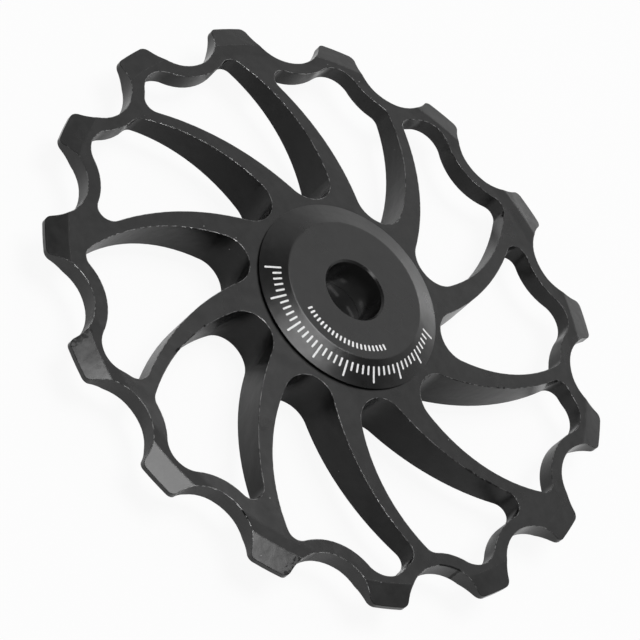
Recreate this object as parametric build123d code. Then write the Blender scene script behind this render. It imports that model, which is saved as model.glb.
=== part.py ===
from build123d import *
from math import atan2, cos, degrees, hypot, radians, sin, sqrt
import os

# Derailleur jockey wheel, in millimetres. The wheel's axis is +Z, the origin is the centre of the
# axle bore at the middle of the wheel's width, and one tooth points along +X.

# Chain and teeth
chain_pitch = 12.7
roller_diameter = 7.75
tooth_count = 15
roller_clearance = 0.1
gap_radius = 4.42
tip_drop = 0.29
tip_corner = 0.7
tip_thickness = 0.5
bevel_width = 2.1

# Rim: a thin band that bows in behind each gap and rounds out inside each tooth
rim_thickness = 1.74
rim_flat = 1.25
rim_band = 1.21
bow_radius = 6.4
bow_end_radius = 2.6

# Spokes: each lies between two arcs, set by its widths at the hub and at the rim and by its sweep in degrees
spoke_count = 10
spoke_hub_width = 3.05
spoke_rim_width = 1.52
spoke_start = 10.63
spoke_sweep = 23.65
convex_radius = 24.33
concave_radius = 17.14
window_hub_radius = 2.6
window_corner = 1.3

# Bearing
bearing_bore = 8.0
bearing_outer = 16.0
bearing_width = 5.0
bearing_fit = 0.01
ball_diameter = 2.381
ball_count = 9
race_clearance = 0.02
groove_radius = 1.25
land_gap = 1.6
ring_corner = 0.2
seal_thickness = 0.45
seal_inset = 0.1
seal_seat = 0.4
seal_fit = 0.01
seal_lip_clearance = 0.05
cage_wall = 0.9
cage_back = 1.7
cage_horn = 0.5
pocket_clearance = 0.04
horn_slot = 0.6
horn_slot_floor = 0.7

# Hub and caps
hub_overhang = 0.1
hub_margin = 0.4
axle_bore = 6.0
bore_chamfer = 0.2
overall_width = 8.0
cap_overlap = 1.6
cap_cone_width = 2.5
cap_face_round = 0.4
cap_edge = 0.08
cap_clearance = 0.2
cap_boss_step = 0.2
spigot_clearance = 0.02
spigot_gap = 0.04

# Radii and heights that follow
tooth_pitch = 360 / tooth_count
spoke_pitch = 360 / spoke_count
chain_radius = chain_pitch / 2 / sin(radians(tooth_pitch / 2))
root_radius = chain_radius - roller_diameter / 2 - roller_clearance
trough_radius = root_radius - rim_band
tip_radius = chain_radius - tip_drop
ball_radius = ball_diameter / 2
ball_circle = (bearing_bore + bearing_outer) / 4
inner_land = ball_circle - land_gap / 2
outer_land = ball_circle + land_gap / 2
seal_radius = outer_land + seal_seat
bearing_half = bearing_width / 2
seal_top = bearing_half - seal_inset
seal_floor = seal_top - seal_thickness
hub_half = bearing_half + hub_overhang
cap_radius = bearing_outer / 2 + cap_overlap
cap_under = hub_half + cap_clearance
cap_top = overall_width / 2
hub_radius = cap_radius + hub_margin


def polar(radius, angle):
    return radius * cos(radians(angle)), radius * sin(radians(angle))


def turned(*points):
    """Solid of revolution about Z from (radius, height) corners."""
    return revolve(Plane.XZ * make_face(Polyline(*points, close=True)), Axis.Z)


def toothed_disc():
    """Outline of the wheel: round tips with broken corners, and one arc for each tooth gap."""
    with BuildSketch() as disc:
        with Locations(Location((0, 0, 0), (0, 0, tooth_pitch / 2))):
            Circle(tip_radius)
        with PolarLocations(root_radius + gap_radius, tooth_count, tooth_pitch / 2):
            Circle(gap_radius, mode=Mode.SUBTRACT)
        fillet(disc.vertices(), tip_corner)
    return disc.sketch


def rim_inside():
    """Region a corner radius inside the rim: arcs behind the gaps, joined by tangent arcs in the teeth."""
    gap_x, gap_y = polar(trough_radius + bow_radius, tooth_pitch / 2)
    reach = bow_radius + bow_end_radius
    tooth_x = gap_x - sqrt(reach ** 2 - gap_y ** 2)
    end_radius = bow_end_radius - window_corner
    meet_x = tooth_x + (gap_x - tooth_x) * end_radius / reach
    meet_y = gap_y * end_radius / reach
    meet_radius = hypot(meet_x, meet_y)
    meet_angle = degrees(atan2(meet_y, meet_x))
    arcs = []
    for tooth in range(tooth_count):
        axis = tooth * tooth_pitch
        start = polar(meet_radius, axis - meet_angle)
        turn = polar(meet_radius, axis + meet_angle)
        end = polar(meet_radius, axis + tooth_pitch - meet_angle)
        arcs.append(ThreePointArc(start, polar(tooth_x + end_radius, axis), turn))
        arcs.append(ThreePointArc(turn, polar(trough_radius - window_corner, axis + tooth_pitch / 2), end))
    return make_face(arcs)


def spoke_edge(spoke, side, radius):
    """Disc a corner radius off a spoke's edge: side is -1 for the convex edge and 1 for the concave one."""
    middle = spoke * spoke_pitch + spoke_start
    hub_end = polar(hub_radius, middle + side * degrees(spoke_hub_width / hub_radius / 2))
    rim_end = polar(trough_radius, middle + spoke_sweep + side * degrees(spoke_rim_width / trough_radius / 2))
    chord = Vector(*rim_end) - Vector(*hub_end)
    inward = chord.normalized().rotate(Axis.Z, 90)
    centre = Vector(*hub_end) + chord / 2 + inward * sqrt(radius ** 2 - (chord.length / 2) ** 2)
    return Pos(centre) * Circle(radius - side * window_corner)


def window(spoke, inside):
    """Opening between a spoke and the next one: its core, grown by the corner radius to round the corners."""
    core = spoke_edge(spoke, 1, concave_radius) - spoke_edge(spoke + 1, -1, convex_radius)
    hub_end = core.vertices().sort_by_distance((0, 0))[0]
    core = fillet(hub_end, window_hub_radius - window_corner) & inside
    return offset(core, window_corner)


def wheel_body():
    """Plate turned to a tapered section with bevelled tips, then cut out to teeth and spokes."""
    bevel_radius = tip_radius - bevel_width
    upper = [
        (bearing_outer / 2 + bearing_fit, hub_half),
        (hub_radius, hub_half),
        (bevel_radius - rim_flat, rim_thickness / 2),
        (bevel_radius, rim_thickness / 2),
        (tip_radius, tip_thickness / 2),
    ]
    lower = [(radius, -height) for radius, height in reversed(upper)]
    inside = rim_inside()
    outline = toothed_disc() - [window(spoke, inside) for spoke in range(spoke_count)]
    return turned(*upper, *lower) & extrude(outline, hub_half, both=True)


def groove(bottom, side):
    """Ring that cuts a ball groove: bottom is its deepest radius, side is 1 outwards, -1 inwards."""
    return Torus(bottom - side * groove_radius, groove_radius)


def bearing_outer_ring():
    """Outer race, stepped at both faces for the seals."""
    upper = [
        (outer_land, seal_floor),
        (seal_radius, seal_floor),
        (seal_radius, bearing_half),
        (bearing_outer / 2 - ring_corner, bearing_half),
        (bearing_outer / 2, bearing_half - ring_corner),
    ]
    lower = [(radius, -height) for radius, height in reversed(upper)]
    return turned(*upper, *lower) - groove(ball_circle + ball_radius + race_clearance, 1)


def bearing_inner_ring():
    """Inner race, clamped between the two caps."""
    bore = bearing_bore / 2
    upper = [
        (bore, bearing_half - ring_corner),
        (bore + ring_corner, bearing_half),
        (inner_land, bearing_half),
    ]
    lower = [(radius, -height) for radius, height in reversed(upper)]
    return turned(*upper, *lower) - groove(ball_circle - ball_radius - race_clearance, -1)


def ball(number):
    return Pos(*polar(ball_circle, number * 360 / ball_count)) * Sphere(ball_radius)


def ball_cage():
    """Crown cage: a ring behind the balls with snap-in pockets, slotted between them into horns."""
    inner = ball_circle - cage_wall / 2
    outer = ball_circle + cage_wall / 2
    cage = turned((inner, -cage_back), (outer, -cage_back), (outer, cage_horn), (inner, cage_horn))
    pocket = Sphere(ball_radius + pocket_clearance)
    slot_height = horn_slot_floor + 2 * cage_horn
    slot = Pos(0, 0, slot_height / 2 - horn_slot_floor) * Box(2 * cage_wall, horn_slot, slot_height)
    cage -= PolarLocations(ball_circle, ball_count) * pocket
    cage -= PolarLocations(ball_circle, ball_count, 180 / ball_count) * slot
    return cage


def front_seal():
    """Flat rubber seal seated in the outer race, with its lip just clear of the inner one."""
    lip = inner_land + seal_lip_clearance
    rim = seal_radius - seal_fit
    return turned((lip, seal_floor), (rim, seal_floor), (rim, seal_top), (lip, seal_top))


def front_cap():
    """Cap with a softened coned edge, a boss on the inner race and a spigot that fills half of its bore."""
    bore = axle_bore / 2
    spigot = bearing_bore / 2 - spigot_clearance
    boss = inner_land - cap_boss_step
    cap = turned(
        (bore, spigot_gap / 2),
        (spigot, spigot_gap / 2),
        (spigot, bearing_half),
        (boss, bearing_half),
        (boss, cap_under),
        (cap_radius, cap_under),
        (cap_radius, cap_under + cap_edge),
        (cap_radius - cap_cone_width, cap_top),
        (bore + bore_chamfer, cap_top),
        (bore, cap_top - bore_chamfer),
    )
    face_edge = cap.edges().filter_by_position(Axis.Z, cap_top, cap_top).sort_by(SortBy.RADIUS)[-1]
    return fillet(face_edge, cap_face_round)


def turned_over(piece):
    """The same piece on the rear side of the wheel."""
    return Rot(180, 0, 0) * piece


pieces = {
    "wheel_body": wheel_body(),
    "bearing_outer_ring": bearing_outer_ring(),
    "bearing_inner_ring": bearing_inner_ring(),
    "ball_cage": ball_cage(),
    "front_seal": front_seal(),
    "rear_seal": turned_over(front_seal()),
    "front_cap": front_cap(),
    "rear_cap": turned_over(front_cap()),
}
for number in range(ball_count):
    pieces[f"ball_{number + 1}"] = ball(number)

os.makedirs("parts", exist_ok=True)
for name, piece in pieces.items():
    export_step(piece, f"parts/{name}.step")
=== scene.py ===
from math import atan, cos, pi, radians, sin, tan

import bpy
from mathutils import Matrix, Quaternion, Vector


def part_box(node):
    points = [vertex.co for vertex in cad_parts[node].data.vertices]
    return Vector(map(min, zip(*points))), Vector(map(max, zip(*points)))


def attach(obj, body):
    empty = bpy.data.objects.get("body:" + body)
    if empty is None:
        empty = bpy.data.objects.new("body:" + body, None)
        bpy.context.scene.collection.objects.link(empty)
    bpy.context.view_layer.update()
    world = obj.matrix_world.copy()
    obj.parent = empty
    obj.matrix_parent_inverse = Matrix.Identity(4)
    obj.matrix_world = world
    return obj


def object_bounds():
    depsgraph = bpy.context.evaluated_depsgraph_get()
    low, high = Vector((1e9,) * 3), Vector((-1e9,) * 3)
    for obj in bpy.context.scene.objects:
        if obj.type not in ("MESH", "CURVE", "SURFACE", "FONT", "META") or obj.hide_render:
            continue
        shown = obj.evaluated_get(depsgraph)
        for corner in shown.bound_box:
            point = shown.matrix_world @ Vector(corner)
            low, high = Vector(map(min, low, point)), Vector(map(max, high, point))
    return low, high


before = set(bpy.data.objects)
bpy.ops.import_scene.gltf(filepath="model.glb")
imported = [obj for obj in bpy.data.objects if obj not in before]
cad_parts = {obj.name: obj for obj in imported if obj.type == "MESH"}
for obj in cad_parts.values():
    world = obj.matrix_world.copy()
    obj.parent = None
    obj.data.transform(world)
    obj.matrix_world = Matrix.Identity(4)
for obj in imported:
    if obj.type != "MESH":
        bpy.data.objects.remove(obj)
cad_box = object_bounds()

# Sizes are in metres, in the wheel's own frame: the axle is +Z, and one tooth points along +X
# Angles are in degrees
MM = 0.001

# Camera, taking the image to be 640 by 640
CAMERA_AZIMUTH = 208.13
CAMERA_ELEVATION = 44.90
CAMERA_DISTANCE = 350.25 * MM
CAMERA_ROLL = 48.54
CAMERA_TARGET = Vector((-0.42, 0.90, -0.985)) * MM
CAMERA_LENS = 213.15
CAMERA_SENSOR = 36.0
CAMERA_CLIP_START = 10.0 * MM

# Lamps: name, direction from the wheel, half width and half height in degrees seen from there, and radiance
LAMP_DISTANCE = 0.9
LAMPS = (
    ("softbox", Vector((0.03, -0.10, 0.99)), (15.5, 15.5), 8.5),
    ("panel", Vector((0.31, -0.58, 0.75)), (38.0, 20.0), 0.75),
    ("low_strip", Vector((0.26, -0.96, 0.045)), (13.0, 3.8), 2.2),
    ("front_light", Vector((-0.33, 0.62, 0.71)), (10.0, 10.0), 6.0),
)

# Room: pale walls and a dark ceiling, with their heights as sines of the elevation
# Dull surfaces get a share of its light
WALL_LIGHT = 0.85
WALL_TOP = 0.3
CEILING_LIGHT = 0.10
CEILING_FROM = 0.62
ROOM_LIGHT_SHARE = 0.4

# Floor: how white it is in view, and in reflections round the wheel, under it and below its bore
# In reflections the floor is dimmed under the wheel, a painted shadow, and brightened below the bore, a
# painted light for the bore's wall
FLOOR_SIZE = 6.0
FLOOR_COLOUR = (0.75, 0.75, 0.75, 1.0)
FLOOR_ROUGHNESS = 0.9
FLOOR_SEEN_WHITE = 0.92
FLOOR_MIRRORED_WHITE = 0.85
FLOOR_MIRRORED_PAINTED_SHADOW = 0.05
FLOOR_MIRRORED_PAINTED_LIGHT_IN_BORE = 0.6
FLOOR_WHEEL_EDGE = (27.0 * MM, 30.0 * MM)
FLOOR_BORE_EDGE = (3.0 * MM, 3.1 * MM)

# Wheel's faces from the hub out: a taper, a level rim and a bevel, as radii and half heights
HUB_RADIUS = 10.0 * MM
HUB_HALF = 2.6 * MM
RIM_LEVEL_FROM = 26.9 * MM
RIM_HALF = 0.87 * MM
RIM_BEVEL_FROM = 28.15 * MM
TIP_RADIUS = 30.25 * MM
TIP_HALF = 0.25 * MM
TAPER_FALL = (HUB_HALF - RIM_HALF) / (RIM_LEVEL_FROM - HUB_RADIUS)
BEVEL_FALL = (RIM_HALF - TIP_HALF) / (TIP_RADIUS - RIM_BEVEL_FROM)

# Half widths of the soft creases between these faces
TAPER_CREASE = 0.2 * MM
BEVEL_CREASE = 0.16 * MM

# Anodising: the rounding of its edges, its gloss and its roughness
# How level a face lies runs from 0 on an upright wall to 1
WHEEL_EDGE_RADIUS = 0.12 * MM
CAP_EDGE_RADIUS = 0.05 * MM
WHEEL_IOR = 1.45
CAP_IOR = 1.53
WALL_TO_FACE = (0.3, 0.8)
CREASED_FACES = (0.85, 0.9)
CONE_TO_FLAT = (0.92, 0.99)
CONE_GLOSS = 0.75
# Walls reflect less towards the hub, between these radii: painted shade of the narrow windows there
INNER_WALL_SHADED_GLOSS = 0.62
INNER_TO_OUTER_WALL = (24.0 * MM, 27.0 * MM)
WALL_ROUGHNESS = 0.20
FACE_ROUGHNESS = 0.28

# Waves and grain of its surface, as noise scale, height and strength, and the span that most noise fills
SURFACE_WAVES = (450.0, 0.06 * MM, 0.8)
SURFACE_GRAIN = (9000.0, 0.02 * MM, 0.02)
NOISE_SPAN = (0.3, 0.7)

# Wear on the wheel's edges: bare burrs, most of them to one side and few of them at the tooth tips
EDGE_TURN = (0.995, 0.93)
BARE_METAL = 0.6
BURRED_SIDE = (0.39, 0.92, 0.0)
BURRED_SPAN = (-20.0 * MM, 15.0 * MM)
OTHER_SIDE_BURRS = 0.45
TIP_EDGES = (29.0 * MM, 29.6 * MM)
TIP_BURRS = 0.1
# How much the tip edges lose their reflection: painted shade
TIP_EDGE_SHADE = 0.8

# Specks of dust, in a few cells of a pattern and sized as parts of a cell
SPECK_SCALE = 700.0
SPECK_CELLS = (0.66, 0.67)
SPECK_RADIUS = (0.025, 0.05)
SPECK_STRENGTH = 0.45

# Dark marks on the wheel's front face, and one down a wall: painted shade of nicks and a scratch that the
# shape doesn't have
# A mark is its points, as radius in millimetres and azimuth, its half width in millimetres and its darkness
# A mark that isn't fully dark is broken into dots
WALL_MARK = (27.4, 185.1)
WALL_MARK_HALF_WIDTH = 0.12
MARKS = (
    (((26.6, 181.2), (26.95, 183.7), WALL_MARK), 0.12, 1.0),
    (((19.25, 201.4), (22.5, 207.0)), 0.17, 0.95),
    (((22.5, 207.0), (23.95, 208.6), (24.8, 208.4)), 0.22, 0.95),
    (((26.95, 135.3), (27.15, 136.1)), 0.12, 1.0),
    (((27.3, 136.7), (27.6, 137.4)), 0.12, 0.95),
    (((28.35, 148.6), (29.55, 147.4), (29.95, 147.4)), 0.29, 0.7),
    (((28.5, 91.2), (30.0, 92.4)), 0.6, 0.55),
    (((16.65, 95.4), (20.6, 100.1)), 0.1, 0.95),
    (((12.75, 224.0), (15.7, 230.4), (19.6, 238.0)), 0.13, 0.95),
)
MARK_FADE = 0.04
MARK_RAGGED = 0.05 * MM

# Bore: where its finish meets the face's, and the patches of its wall that are glossy: painted reflections of
# the floor below the bore
# A patch is its two ends, as azimuth and height in millimetres, and its half width in millimetres
BORE_RADIUS = 3.0 * MM
BORE_EDGE = (3.02 * MM, 3.05 * MM)
BORE_BLACK = 0.018
BORE_GLOSS = 0.05
BORE_PATCHES = (
    ((353.0, 1.2), (326.0, 1.05), 0.6),
    ((335.0, -0.55), (313.0, -1.0), 0.36),
    ((282.0, -1.05), (262.0, -0.9), 0.32),
    ((272.0, 0.8), (238.0, 1.2), 0.6),
)

# Front cap, and the ticks printed on it: a scale round its cone and a finer one round its flat face
CAP_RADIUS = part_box("front_cap")[1].x
CAP_TOP = cad_box[1].z
CAP_EDGE_HEIGHT = 2.88 * MM
CAP_CONE_WIDTH = 2.5 * MM
CAP_FALL = (CAP_TOP - CAP_EDGE_HEIGHT) / CAP_CONE_WIDTH
TICK_WIDTH = 0.2 * MM
TICK_THICKNESS = 0.02 * MM
TICK_PROUD = 0.004 * MM
TICK_CORNER = 0.08 * MM
TICK_CORNER_SEGMENTS = 3
TICK_STEP = 4.2
LONG_TICK_EVERY = 5
LONG_TICK_COUNT = 9
LONG_TICK_LENGTH = 1.55 * MM
SHORT_TICK_LENGTH = 0.85 * MM
CONE_TICKS_START = 68.0
CONE_TICK_INNER = 7.75 * MM
FACE_TICKS_START = 104.0
FACE_TICK_INNER = 5.75 * MM
FACE_TICK_COUNT = 21
FACE_TICK_LENGTH = 0.6 * MM
NEARLY_PARALLEL = 0.9


class Nodes:
    """The node tree of a material or a world, with short ways to add and join nodes."""

    def __init__(self, owner):
        owner.use_nodes = True
        self.owner = owner
        self.tree = owner.node_tree

    def add(self, kind, **settings):
        node = self.tree.nodes.new(kind)
        for key, value in settings.items():
            setattr(node, key, value)
        return node

    def feed(self, socket, value):
        """Gives an input a value, or another node's output to read."""
        if isinstance(value, bpy.types.NodeSocket):
            self.tree.links.new(value, socket)
        else:
            socket.default_value = value

    def coordinates(self):
        return self.add("ShaderNodeTexCoord").outputs["Object"]

    def math(self, operation, *values, clamp=False):
        node = self.add("ShaderNodeMath", operation=operation, use_clamp=clamp)
        for socket, value in zip(node.inputs, values):
            self.feed(socket, value)
        return node.outputs[0]

    def vector(self, operation, *values, output="Vector"):
        node = self.add("ShaderNodeVectorMath", operation=operation)
        for socket, value in zip(node.inputs, values):
            self.feed(socket, value)
        return node.outputs[output]

    def scaled(self, vector, factor):
        node = self.add("ShaderNodeVectorMath", operation="SCALE")
        self.feed(node.inputs[0], vector)
        self.feed(node.inputs["Scale"], factor)
        return node.outputs["Vector"]

    def height(self, vector):
        node = self.add("ShaderNodeSeparateXYZ")
        self.feed(node.inputs[0], vector)
        return node.outputs["Z"]

    def noise(self, place, scale, detail=2.0, roughness=0.5):
        node = self.add("ShaderNodeTexNoise")
        inputs = {"Vector": place, "Scale": scale, "Detail": detail, "Roughness": roughness}
        for name, value in inputs.items():
            self.feed(node.inputs[name], value)
        return node.outputs["Fac"]

    def map_range(self, value, span, target, smooth=False):
        """Value that goes from one end of target to the other while the given one crosses span."""
        node = self.add("ShaderNodeMapRange", interpolation_type="SMOOTHSTEP" if smooth else "LINEAR")
        for socket, number in zip(node.inputs, (value, *span, *target)):
            self.feed(socket, number)
        return node.outputs[0]

    def ramp(self, value, *stops):
        """Colour from a scale of (position, colour) stops."""
        node = self.add("ShaderNodeValToRGB")
        elements = node.color_ramp.elements
        while len(elements) < len(stops):
            elements.new(0.5)
        for element, (position, colour) in zip(elements, stops):
            element.position = position
            element.color = colour
        self.feed(node.inputs["Fac"], value)
        return node.outputs["Color"]

    def mix_colour(self, factor, first, second):
        node = self.add("ShaderNodeMix", data_type="RGBA")
        self.feed(node.inputs["Factor"], factor)
        colours = [socket for socket in node.inputs if socket.type == "RGBA"]
        for socket, value in zip(colours, (first, second)):
            self.feed(socket, value)
        return [socket for socket in node.outputs if socket.type == "RGBA"][0]

    def distance_to_line(self, place, start, end):
        """Distance from a place to the straight line between two points."""
        along = end - start
        offset = self.vector("SUBTRACT", place, start)
        share = self.vector("DOT_PRODUCT", offset, along / along.length_squared, output="Value")
        nearest = self.scaled(along, self.math("ADD", share, 0.0, clamp=True))
        return self.vector("DISTANCE", offset, nearest, output="Value")


class Finish(Nodes):
    """A new material and its shader."""

    def __init__(self, name):
        super().__init__(bpy.data.materials.new(name))
        self.shader = self.tree.nodes["Principled BSDF"]

    def shade(self, **inputs):
        """Gives the shader's inputs values, or outputs to read."""
        for name, value in inputs.items():
            self.feed(self.shader.inputs[name.replace("_", " ")], value)


def grey(level):
    return (level, level, level, 1.0)


def at_azimuth(radius, azimuth, height):
    return Vector((radius * cos(radians(azimuth)), radius * sin(radians(azimuth)), height))


def on_front_face(radius, azimuth):
    """Point on the wheel's front face, from a radius in millimetres and an azimuth."""
    across = radius * MM
    taper = TAPER_FALL * max(RIM_LEVEL_FROM - across, 0.0)
    bevel = BEVEL_FALL * max(across - RIM_BEVEL_FROM, 0.0)
    return at_azimuth(across, azimuth, RIM_HALF + taper - bevel)


def from_axle(nodes, place):
    return nodes.vector("MULTIPLY", place, (1.0, 1.0, 0.0))


def distance_from_axle(nodes, place):
    return nodes.vector("LENGTH", from_axle(nodes, place), output="Value")


def true_normal(nodes):
    return nodes.add("ShaderNodeNewGeometry").outputs["Normal"]


def rounded_edges(nodes, radius):
    """Normal that rounds a piece's edges."""
    bevel = nodes.add("ShaderNodeBevel", samples=4)
    nodes.feed(bevel.inputs["Radius"], radius)
    return bevel.outputs["Normal"]


def edge_mask(nodes, rounded):
    """Mask along a piece's edges, where the rounded normal turns away from the true one."""
    turn = nodes.vector("DOT_PRODUCT", rounded, true_normal(nodes), output="Value")
    return nodes.map_range(turn, EDGE_TURN, (0.0, 1.0), smooth=True)


def levelness(nodes):
    """How level a face lies, from 0 on an upright wall to 1."""
    return nodes.math("ABSOLUTE", nodes.height(true_normal(nodes)))


def uneven(nodes, place, low, high, scale, detail=2.0):
    """Value that drifts between two levels."""
    return nodes.map_range(nodes.noise(place, scale, detail), NOISE_SPAN, (low, high))


def mottled(nodes, place, darker, lighter, scale, detail=2.0, roughness=0.5):
    """Colour that drifts between two shades."""
    drift = nodes.noise(place, scale, detail, roughness)
    return nodes.ramp(drift, (NOISE_SPAN[0], darker), (NOISE_SPAN[1], lighter))


def painted_shade_marks(nodes, place):
    """Mask of dark, ragged lines and smudges that take away the wheel's reflection: painted shade of nicks
    and a scratch that the shape doesn't have.
    """
    top = on_front_face(*WALL_MARK)
    lines = [(top, Vector((top.x, top.y, -top.z)), WALL_MARK_HALF_WIDTH, 1.0)]
    for points, half_width, darkness in MARKS:
        chain = [on_front_face(*point) for point in points]
        lines += [(start, end, half_width, darkness) for start, end in zip(chain, chain[1:])]
    ragged = uneven(nodes, place, -MARK_RAGGED, MARK_RAGGED, scale=3000.0)
    dots = nodes.map_range(nodes.noise(place, scale=2400.0, detail=1.0), (0.44, 0.54), (0.0, 1.0))
    marks = 0.0
    for start, end, half_width, darkness in lines:
        away = nodes.math("ADD", nodes.distance_to_line(place, start, end), ragged)
        line = nodes.map_range(away, (half_width * MM, (half_width + MARK_FADE) * MM), (darkness, 0.0))
        if darkness < 1.0:
            line = nodes.math("MULTIPLY", line, dots)
        marks = nodes.math("MAXIMUM", line, marks)
    return marks


def burred_edges(nodes, place, edge, across):
    """Mask of bare metal in dots and stretches along the edges."""
    dots = nodes.noise(place, scale=2600.0, detail=3.0)
    stretches = nodes.noise(place, scale=170.0, detail=1.0)
    sideways = nodes.vector("DOT_PRODUCT", place, BURRED_SIDE, output="Value")
    shares = (
        nodes.map_range(dots, (0.42, 0.56), (0.05, 1.0), smooth=True),
        nodes.map_range(stretches, (0.38, 0.58), (0.5, 1.0), smooth=True),
        nodes.map_range(sideways, BURRED_SPAN, (OTHER_SIDE_BURRS, 1.0)),
        nodes.map_range(across, TIP_EDGES, (1.0, TIP_BURRS)),
    )
    burrs = edge
    for share in shares:
        burrs = nodes.math("MULTIPLY", burrs, share)
    return burrs


def stray_specks(nodes, place):
    """Mask of a few pale specks of dust."""
    cells = nodes.add("ShaderNodeTexVoronoi")
    nodes.feed(cells.inputs["Vector"], place)
    nodes.feed(cells.inputs["Scale"], SPECK_SCALE)
    few = nodes.map_range(cells.outputs["Color"], SPECK_CELLS, (0.0, 1.0))
    specks = nodes.map_range(cells.outputs["Distance"], SPECK_RADIUS, (SPECK_STRENGTH, 0.0))
    return nodes.math("MULTIPLY", specks, few)


def softly_creased(nodes, place, across, level, normal):
    """Normal of the wheel's faces, with the taper, the rim and the bevel running softly into each other."""
    taper_crease = (RIM_LEVEL_FROM - TAPER_CREASE, RIM_LEVEL_FROM + TAPER_CREASE)
    bevel_crease = (RIM_BEVEL_FROM - BEVEL_CREASE, RIM_BEVEL_FROM + BEVEL_CREASE)
    taper = nodes.map_range(across, taper_crease, (TAPER_FALL, 0.0), smooth=True)
    bevel = nodes.map_range(across, bevel_crease, (0.0, BEVEL_FALL), smooth=True)
    true_fall = nodes.math("TANGENT", nodes.math("ARCCOSINE", level))
    change = nodes.math("SUBTRACT", nodes.math("ADD", taper, bevel), true_fall)
    change = nodes.math("MULTIPLY", change, nodes.map_range(level, CREASED_FACES, (0.0, 1.0)))
    outward = nodes.vector("NORMALIZE", from_axle(nodes, place))
    return nodes.vector("ADD", normal, nodes.scaled(outward, change))


def satin_finish(nodes, place, level, normal):
    """Satin roughness, smoother on upright walls, over a surface with slight waves and a fine grain."""
    satin = nodes.map_range(level, WALL_TO_FACE, (WALL_ROUGHNESS, FACE_ROUGHNESS), smooth=True)
    clouds = uneven(nodes, place, -0.02, 0.03, scale=160.0, detail=3.0)
    for scale, height, strength in (SURFACE_WAVES, SURFACE_GRAIN):
        bump = nodes.add("ShaderNodeBump")
        nodes.feed(bump.inputs["Height"], nodes.noise(place, scale))
        nodes.feed(bump.inputs["Distance"], height)
        nodes.feed(bump.inputs["Strength"], strength)
        nodes.feed(bump.inputs["Normal"], normal)
        normal = bump.outputs["Normal"]
    nodes.shade(Roughness=nodes.math("ADD", satin, clouds), Normal=normal)


def wheel_anodised():
    """Satin black anodising, worn to bare metal on the edges. Painted shade: its walls reflect less towards
    the hub, and its tip edges and a few dark marks reflect little.
    """
    nodes = Finish("wheel_anodised")
    place = nodes.coordinates()
    across = distance_from_axle(nodes, place)
    normal = rounded_edges(nodes, WHEEL_EDGE_RADIUS)
    edge = edge_mask(nodes, normal)
    level = levelness(nodes)

    # Tip edges lose most of their reflection: painted shade
    painted_shade_tips = nodes.math("MULTIPLY", edge, nodes.map_range(across, TIP_EDGES, (0.0, TIP_EDGE_SHADE)))
    # Painted shade: the marks and the tip edges lose their reflection
    dark = nodes.math("MAXIMUM", painted_shade_marks(nodes, place), painted_shade_tips)
    unmarked = nodes.math("SUBTRACT", 1.0, dark, clamp=True)
    burrs = nodes.math("MULTIPLY", burred_edges(nodes, place, edge, across), unmarked)
    bare = nodes.math("MAXIMUM", burrs, stray_specks(nodes, place))
    black = mottled(nodes, place, grey(0.001), grey(0.010), scale=900.0, detail=4.0, roughness=0.6)
    nodes.shade(Base_Color=nodes.mix_colour(bare, black, grey(BARE_METAL)), Metallic=burrs)

    # Walls reflect less towards the hub: painted shade
    painted_shade_wall_gloss = nodes.map_range(across, INNER_TO_OUTER_WALL, (INNER_WALL_SHADED_GLOSS, 1.0))
    gloss = nodes.mix_colour(nodes.map_range(level, WALL_TO_FACE, (0.0, 1.0)), painted_shade_wall_gloss, grey(1.0))
    nodes.shade(Specular_Tint=nodes.mix_colour(dark, gloss, grey(0.0)), IOR=WHEEL_IOR)
    satin_finish(nodes, place, level, softly_creased(nodes, place, across, level, normal))
    return nodes.owner


def painted_reflection_patches(nodes, place):
    """Mask of the glossy patches in the bore: painted reflections of the floor below it."""
    patches = 0.0
    for start, end, half_width in BORE_PATCHES:
        ends = [at_azimuth(BORE_RADIUS, azimuth, height * MM) for azimuth, height in (start, end)]
        away = nodes.distance_to_line(place, *ends)
        patch = nodes.map_range(away, (0.0, half_width * MM), (1.0, 0.0), smooth=True)
        patches = nodes.math("MAXIMUM", patch, patches)
    return patches


def cap_anodised():
    """Satin black anodising, clean and even, and duller in the bore apart from a few glossy patches of
    painted reflection.
    """
    nodes = Finish("cap_anodised")
    place = nodes.coordinates()
    level = levelness(nodes)
    in_bore = nodes.map_range(distance_from_axle(nodes, place), BORE_EDGE, (1.0, 0.0))
    black = mottled(nodes, place, grey(0.003), grey(0.007), scale=900.0, detail=4.0, roughness=0.6)
    gloss = nodes.ramp(level, (CONE_TO_FLAT[0], grey(CONE_GLOSS)), (CONE_TO_FLAT[1], grey(1.0)))
    # Painted reflections: full gloss in a few patches of the dull bore
    bore_gloss = nodes.ramp(painted_reflection_patches(nodes, place), (0.0, grey(BORE_GLOSS)), (1.0, grey(1.0)))
    nodes.shade(
        Base_Color=nodes.mix_colour(in_bore, black, grey(BORE_BLACK)),
        Specular_Tint=nodes.mix_colour(in_bore, gloss, bore_gloss),
        IOR=CAP_IOR)
    satin_finish(nodes, place, level, rounded_edges(nodes, CAP_EDGE_RADIUS))
    return nodes.owner


def printed_white():
    """White ink, slightly uneven."""
    nodes = Finish("white_print")
    white = mottled(nodes, nodes.coordinates(), grey(0.75), grey(0.9), scale=5000.0)
    nodes.shade(Base_Color=white, Roughness=0.6)
    return nodes.owner


def bearing_steel():
    """Ground steel, slightly uneven."""
    nodes = Finish("bearing_steel")
    place = nodes.coordinates()
    nodes.shade(
        Base_Color=mottled(nodes, place, grey(0.48), grey(0.62), scale=3000.0),
        Roughness=uneven(nodes, place, 0.18, 0.3, scale=900.0),
        Metallic=1.0)
    return nodes.owner


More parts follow.
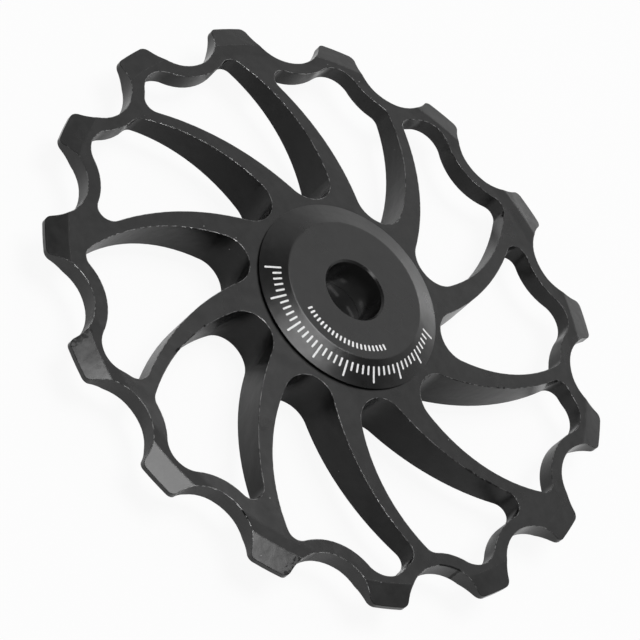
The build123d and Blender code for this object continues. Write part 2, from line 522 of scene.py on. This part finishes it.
def ball_ceramic():
    """Polished dark ceramic with a faint cloudiness."""
    nodes = Finish("ball_ceramic")
    place = nodes.coordinates()
    nodes.shade(
        Base_Color=mottled(nodes, place, grey(0.02), grey(0.035), scale=2500.0),
        Roughness=uneven(nodes, place, 0.05, 0.1, scale=4000.0))
    return nodes.owner


def cage_nylon():
    """Moulded nylon, honey coloured, with a soft mottling."""
    nodes = Finish("cage_nylon")
    place = nodes.coordinates()
    nodes.shade(
        Base_Color=mottled(nodes, place, (0.42, 0.33, 0.19, 1.0), (0.52, 0.42, 0.26, 1.0), scale=1500.0),
        Roughness=uneven(nodes, place, 0.4, 0.55, scale=5000.0))
    return nodes.owner


def seal_rubber():
    """Dull black rubber, slightly uneven."""
    nodes = Finish("seal_rubber")
    place = nodes.coordinates()
    nodes.shade(
        Base_Color=mottled(nodes, place, grey(0.012), grey(0.022), scale=2000.0),
        Roughness=uneven(nodes, place, 0.6, 0.8, scale=6000.0))
    return nodes.owner


def dress(material, *names):
    """Gives CAD nodes one material."""
    for name in names:
        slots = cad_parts[name].data.materials
        slots.clear()
        slots.append(material)


def round_corners(tick, upright):
    """Rounds the tick's four edges that stand on the cap."""
    bpy.ops.object.mode_set(mode="EDIT")
    bpy.ops.mesh.select_mode(type="EDGE")
    bpy.ops.mesh.select_all(action="DESELECT")
    bpy.ops.object.mode_set(mode="OBJECT")
    for edge in tick.data.edges:
        first, second = [tick.data.vertices[index].co for index in edge.vertices]
        edge.select = abs((second - first).normalized().dot(upright)) > NEARLY_PARALLEL
    bpy.ops.object.mode_set(mode="EDIT")
    bpy.ops.mesh.bevel(offset=TICK_CORNER, segments=TICK_CORNER_SEGMENTS)
    bpy.ops.object.mode_set(mode="OBJECT")


def tick_run(fall, inner, height, azimuth, length, step, count):
    """One thin tick that falls outwards from an inner radius and height, and its copies round the axle."""
    slope = atan(fall)
    sink = TICK_PROUD - TICK_THICKNESS / 2
    radius = inner + cos(slope) * length / 2 + sin(slope) * sink
    level = height - sin(slope) * length / 2 + cos(slope) * sink
    bpy.ops.object.select_all(action="DESELECT")
    bpy.ops.mesh.primitive_cube_add(
        size=1,
        scale=(length, TICK_WIDTH, TICK_THICKNESS),
        rotation=(0, slope, radians(azimuth)),
        location=at_azimuth(radius, azimuth, level))
    bpy.ops.object.transform_apply(location=True, rotation=True, scale=True)
    tick = bpy.context.object
    round_corners(tick, at_azimuth(sin(slope), azimuth, cos(slope)))
    bpy.ops.object.mode_set(mode="EDIT")
    bpy.ops.mesh.select_all(action="SELECT")
    bpy.ops.mesh.spin(
        steps=count - 1,
        dupli=True,
        angle=-radians((count - 1) * step),
        center=(0, 0, 0),
        axis=(0, 0, 1))
    bpy.ops.mesh.select_all(action="SELECT")
    bpy.ops.mesh.normals_make_consistent(inside=False)
    bpy.ops.object.mode_set(mode="OBJECT")
    return tick


def print_scale(name, ink, runs):
    """Joins runs of ticks into one printed scale on the front cap."""
    bpy.ops.object.select_all(action="DESELECT")
    for run in runs:
        run.select_set(True)
    bpy.context.view_layer.objects.active = runs[0]
    if len(runs) > 1:
        bpy.ops.object.join()
    ticks = bpy.context.object
    ticks.name = name
    ticks.data.materials.clear()
    ticks.data.materials.append(ink)
    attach(ticks, "hub")


def print_cone_ticks(ink):
    """Scale round the cap's cone: a run of long ticks, and runs of short ones between them."""
    height = CAP_EDGE_HEIGHT + (CAP_RADIUS - CONE_TICK_INNER) * CAP_FALL
    step = LONG_TICK_EVERY * TICK_STEP
    runs = []
    for number in range(LONG_TICK_EVERY):
        length = SHORT_TICK_LENGTH if number else LONG_TICK_LENGTH
        count = LONG_TICK_COUNT - 1 if number else LONG_TICK_COUNT
        azimuth = CONE_TICKS_START + number * TICK_STEP
        runs.append(tick_run(CAP_FALL, CONE_TICK_INNER, height, azimuth, length, step, count))
    print_scale("cone_ticks", ink, runs)


def print_face_ticks(ink):
    """Finer scale round the cap's flat face."""
    run = tick_run(
        0.0, FACE_TICK_INNER, CAP_TOP, FACE_TICKS_START, FACE_TICK_LENGTH, TICK_STEP, FACE_TICK_COUNT)
    print_scale("face_ticks", ink, [run])


def mirrored_rays(nodes, path):
    return nodes.math("MAXIMUM", path["Is Glossy Ray"], path["Is Transmission Ray"])


def lay_floor():
    """Plain white floor under the rear cap. It shows white, and keeps a soft part of the wheel's shadow. In
    reflections it has a painted shadow under the wheel and a painted light below the bore.
    """
    bpy.ops.object.select_all(action="DESELECT")
    bpy.ops.mesh.primitive_plane_add(size=FLOOR_SIZE, location=(0, 0, cad_box[0].z))
    floor = bpy.context.object
    floor.name = "floor"
    nodes = Finish("floor_white")
    nodes.shade(Base_Color=FLOOR_COLOUR, Roughness=FLOOR_ROUGHNESS)
    path = nodes.add("ShaderNodeLightPath").outputs
    across = distance_from_axle(nodes, nodes.coordinates())
    # In reflections: a painted shadow under the wheel and a painted light below its bore
    painted_shadow_round_wheel = nodes.map_range(across, FLOOR_WHEEL_EDGE, (FLOOR_MIRRORED_PAINTED_SHADOW, FLOOR_MIRRORED_WHITE))
    in_bore = nodes.map_range(across, FLOOR_BORE_EDGE, (FLOOR_MIRRORED_PAINTED_LIGHT_IN_BORE, FLOOR_MIRRORED_PAINTED_SHADOW))
    white = nodes.math("MAXIMUM", painted_shadow_round_wheel, in_bore)
    mirrored = nodes.math("MULTIPLY", mirrored_rays(nodes, path), white)
    seen = nodes.math("MULTIPLY", path["Is Camera Ray"], FLOOR_SEEN_WHITE)
    mixed = nodes.add("ShaderNodeMixShader")
    nodes.feed(mixed.inputs[0], nodes.math("ADD", seen, mirrored, clamp=True))
    nodes.feed(mixed.inputs[1], nodes.shader.outputs[0])
    nodes.feed(mixed.inputs[2], nodes.add("ShaderNodeEmission").outputs[0])
    nodes.feed(nodes.tree.nodes["Material Output"].inputs["Surface"], mixed.outputs[0])
    floor.data.materials.append(nodes.owner)


def hang_lamp(name, direction, half_angles, radiance):
    """Oval lamp facing the wheel, as wide and high as two angles seen from it."""
    width, height = [2 * LAMP_DISTANCE * tan(radians(angle)) for angle in half_angles]
    area = pi * width * height / 4
    data = bpy.data.lights.new(name, "AREA")
    data.shape = "ELLIPSE"
    data.size = width
    data.size_y = height
    data.energy = radiance * pi * area
    lamp = bpy.data.objects.new(name, data)
    lamp.visible_camera = False
    lamp.location = direction.normalized() * LAMP_DISTANCE
    lamp.rotation_euler = (-direction).to_track_quat("-Z", "Y").to_euler()
    bpy.context.scene.collection.objects.link(lamp)


def paint_room():
    """Pale walls and a dark ceiling, at full strength in view and in reflections, weaker on dull surfaces."""
    world = bpy.data.worlds.new("studio")
    bpy.context.scene.world = world
    nodes = Nodes(world)
    direction = nodes.add("ShaderNodeTexCoord").outputs["Generated"]
    light = nodes.ramp(
        nodes.height(direction),
        (0.0, grey(WALL_LIGHT)),
        (WALL_TOP, grey(WALL_LIGHT)),
        (CEILING_FROM, grey(CEILING_LIGHT)),
        (1.0, grey(CEILING_LIGHT)))
    path = nodes.add("ShaderNodeLightPath").outputs
    seen = nodes.math("MAXIMUM", path["Is Camera Ray"], mirrored_rays(nodes, path))
    background = nodes.tree.nodes["Background"]
    nodes.feed(background.inputs["Color"], light)
    nodes.feed(background.inputs["Strength"], nodes.map_range(seen, (0.0, 1.0), (ROOM_LIGHT_SHARE, 1.0)))


def place_camera():
    """Camera that looks at the target from an azimuth and an elevation, turned by a roll."""
    azimuth = radians(CAMERA_AZIMUTH)
    elevation = radians(CAMERA_ELEVATION)
    back = Vector((sin(azimuth) * cos(elevation), -cos(azimuth) * cos(elevation), sin(elevation)))
    roll = Quaternion((0, 0, 1), radians(CAMERA_ROLL))
    data = bpy.data.cameras.new("camera")
    data.lens = CAMERA_LENS
    data.sensor_width = CAMERA_SENSOR
    data.clip_start = CAMERA_CLIP_START
    camera = bpy.data.objects.new("camera", data)
    camera.location = CAMERA_TARGET + back * CAMERA_DISTANCE
    camera.rotation_mode = "QUATERNION"
    camera.rotation_quaternion = (-back).to_track_quat("-Z", "Y") @ roll
    bpy.context.scene.collection.objects.link(camera)
    bpy.context.scene.camera = camera


balls = [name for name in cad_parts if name.startswith("ball_") and name != "ball_cage"]
dress(wheel_anodised(), "wheel_body")
dress(cap_anodised(), "front_cap", "rear_cap")
dress(bearing_steel(), "bearing_outer_ring", "bearing_inner_ring")
dress(ball_ceramic(), *balls)
dress(cage_nylon(), "ball_cage")
dress(seal_rubber(), "front_seal", "rear_seal")
white_ink = printed_white()
print_cone_ticks(white_ink)
print_face_ticks(white_ink)
lay_floor()
for lamp in LAMPS:
    hang_lamp(*lamp)
paint_room()
place_camera()
bpy.context.scene.view_settings.view_transform = "Standard"
